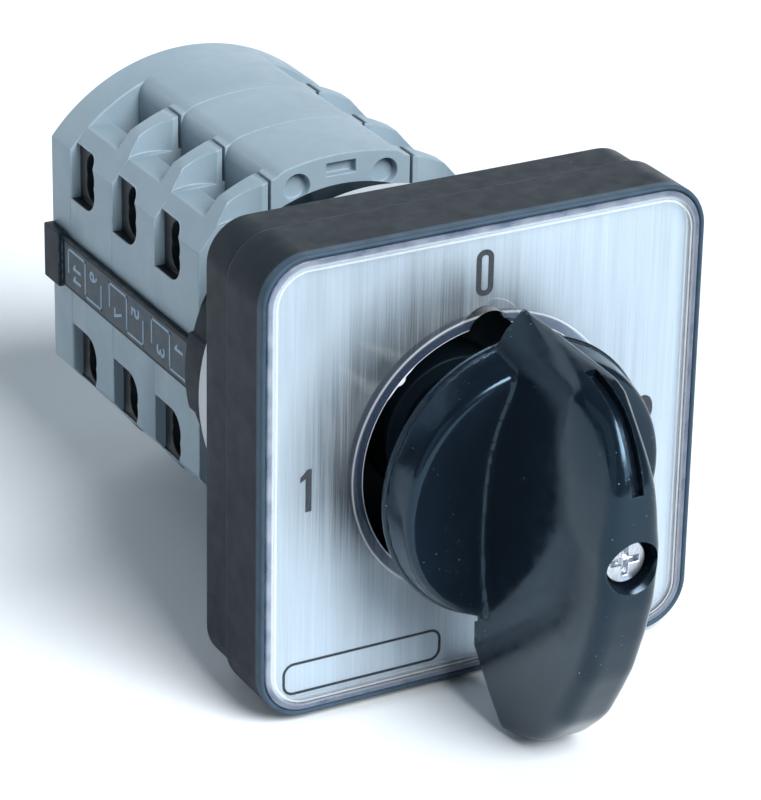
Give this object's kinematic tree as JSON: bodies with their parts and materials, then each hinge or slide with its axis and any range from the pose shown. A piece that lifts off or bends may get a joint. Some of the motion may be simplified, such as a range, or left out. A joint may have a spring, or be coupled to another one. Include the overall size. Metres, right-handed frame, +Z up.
{
  "type": "rotary cam selector switch",
  "caption": "Panel-mount rotary cam selector switch with a square legend plate, a pointer handle and stacked contact stages behind.",
  "frame": {"origin": "on the shaft's axis, in the rear face of the front plate, where the panel lies", "axes": "+Y along the shaft to the rear, +Z up towards the 0 on the legend, +X to the right seen from the front"},
  "size_m": [0.064, 0.123, 0.0644],
  "materials": {
    "black_plastic": "satin",
    "gloss_black_plastic": "polished",
    "body_plastic": "satin",
    "light_grey_plastic": "satin",
    "clear_plastic": "clear",
    "legend_aluminium": "brushed",
    "zinc_steel": "plated",
    "contact_brass": "plain",
    "nylon": "plain",
    "carrier_plastic": "plain"
  },
  "bodies": {
    "switch_body": {"front_frame": "black_plastic", "rear_frame": "black_plastic", "clear_cover": "clear_plastic", "legend_plate": "legend_aluminium", "frame_screws": "zinc_steel", "mounting_disc": "light_grey_plastic", "latch_housing": "black_plastic", "rear_cover": "body_plastic", "number_strip_left": "black_plastic", "number_strip_right": "black_plastic", "tie_bolts": "zinc_steel", "stage_housing_1": "body_plastic", "stage_housing_2": "body_plastic", "stage_housing_3": "body_plastic", "fixed_contacts_1": "contact_brass", "fixed_contacts_2": "contact_brass", "fixed_contacts_3": "contact_brass", "terminal_clamps_1": "zinc_steel", "terminal_clamps_2": "zinc_steel", "terminal_clamps_3": "zinc_steel", "terminal_screws_1": "zinc_steel", "terminal_screws_2": "zinc_steel", "terminal_screws_3": "zinc_steel"},
    "rotor": {"handle": "gloss_black_plastic", "handle_screw": "zinc_steel", "square_shaft": "zinc_steel", "stop_disc": "black_plastic", "star_wheel": "nylon", "cam_1": "nylon", "cam_2": "nylon", "cam_3": "nylon"},
    "bridge_upper_1": {"bridge_carrier_upper_1": "carrier_plastic", "bridge_contact_upper_1": "contact_brass", "contact_spring_upper_1": "zinc_steel"},
    "bridge_upper_2": {"bridge_carrier_upper_2": "carrier_plastic", "bridge_contact_upper_2": "contact_brass", "contact_spring_upper_2": "zinc_steel"},
    "bridge_upper_3": {"bridge_carrier_upper_3": "carrier_plastic", "bridge_contact_upper_3": "contact_brass", "contact_spring_upper_3": "zinc_steel"},
    "bridge_lower_1": {"bridge_carrier_lower_1": "carrier_plastic", "bridge_contact_lower_1": "contact_brass", "contact_spring_lower_1": "zinc_steel"},
    "bridge_lower_2": {"bridge_carrier_lower_2": "carrier_plastic", "bridge_contact_lower_2": "contact_brass", "contact_spring_lower_2": "zinc_steel"},
    "bridge_lower_3": {"bridge_carrier_lower_3": "carrier_plastic", "bridge_contact_lower_3": "contact_brass", "contact_spring_lower_3": "zinc_steel"},
    "detent_upper": {"detent_plunger_upper": "nylon", "detent_spring_upper": "zinc_steel"},
    "detent_lower": {"detent_plunger_lower": "nylon", "detent_spring_lower": "zinc_steel"}
  },
  "joints": [
    {"name": "handle_turn", "type": "hinge", "parent": "switch_body", "child": "rotor", "pos_m": [0, 0, 0], "axis": [0, 1, 0], "range_deg": [-90, 90]},
    {"name": "bridge_upper_1_slide", "type": "slide", "parent": "switch_body", "child": "bridge_upper_1", "axis": [0, 0, 1], "range_m": [-0.0013, 0.0013], "deforming": ["contact_spring_upper_1"]},
    {"name": "bridge_upper_2_slide", "type": "slide", "parent": "switch_body", "child": "bridge_upper_2", "axis": [0, 0, 1], "range_m": [-0.0013, 0.0013], "deforming": ["contact_spring_upper_2"]},
    {"name": "bridge_upper_3_slide", "type": "slide", "parent": "switch_body", "child": "bridge_upper_3", "axis": [0, 0, 1], "range_m": [-0.0013, 0.0013], "deforming": ["contact_spring_upper_3"]},
    {"name": "bridge_lower_1_slide", "type": "slide", "parent": "switch_body", "child": "bridge_lower_1", "axis": [0, 0, 1], "range_m": [-0.0013, 0.0013], "deforming": ["contact_spring_lower_1"]},
    {"name": "bridge_lower_2_slide", "type": "slide", "parent": "switch_body", "child": "bridge_lower_2", "axis": [0, 0, 1], "range_m": [-0.0013, 0.0013], "deforming": ["contact_spring_lower_2"]},
    {"name": "bridge_lower_3_slide", "type": "slide", "parent": "switch_body", "child": "bridge_lower_3", "axis": [0, 0, 1], "range_m": [-0.0013, 0.0013], "deforming": ["contact_spring_lower_3"]},
    {"name": "detent_upper_slide", "type": "slide", "parent": "switch_body", "child": "detent_upper", "axis": [0, 0, -1], "range_m": [0, 0.0023], "stiffness_N_per_m": 150, "springref_m": 0.0023, "deforming": ["detent_spring_upper"]},
    {"name": "detent_lower_slide", "type": "slide", "parent": "switch_body", "child": "detent_lower", "axis": [0, 0, 1], "range_m": [0, 0.0023], "stiffness_N_per_m": 150, "springref_m": 0.0023, "deforming": ["detent_spring_lower"]}
  ],
  "couplings": [
    {"joint": "bridge_upper_1_slide", "follows": "handle_turn", "m_per_rad": 0.00079577},
    {"joint": "bridge_upper_2_slide", "follows": "handle_turn", "m_per_rad": 0.00079577},
    {"joint": "bridge_upper_3_slide", "follows": "handle_turn", "m_per_rad": 0.00079577},
    {"joint": "bridge_lower_1_slide", "follows": "handle_turn", "m_per_rad": 0.00079577},
    {"joint": "bridge_lower_2_slide", "follows": "handle_turn", "m_per_rad": 0.00079577},
    {"joint": "bridge_lower_3_slide", "follows": "handle_turn", "m_per_rad": 0.00079577}
  ]
}
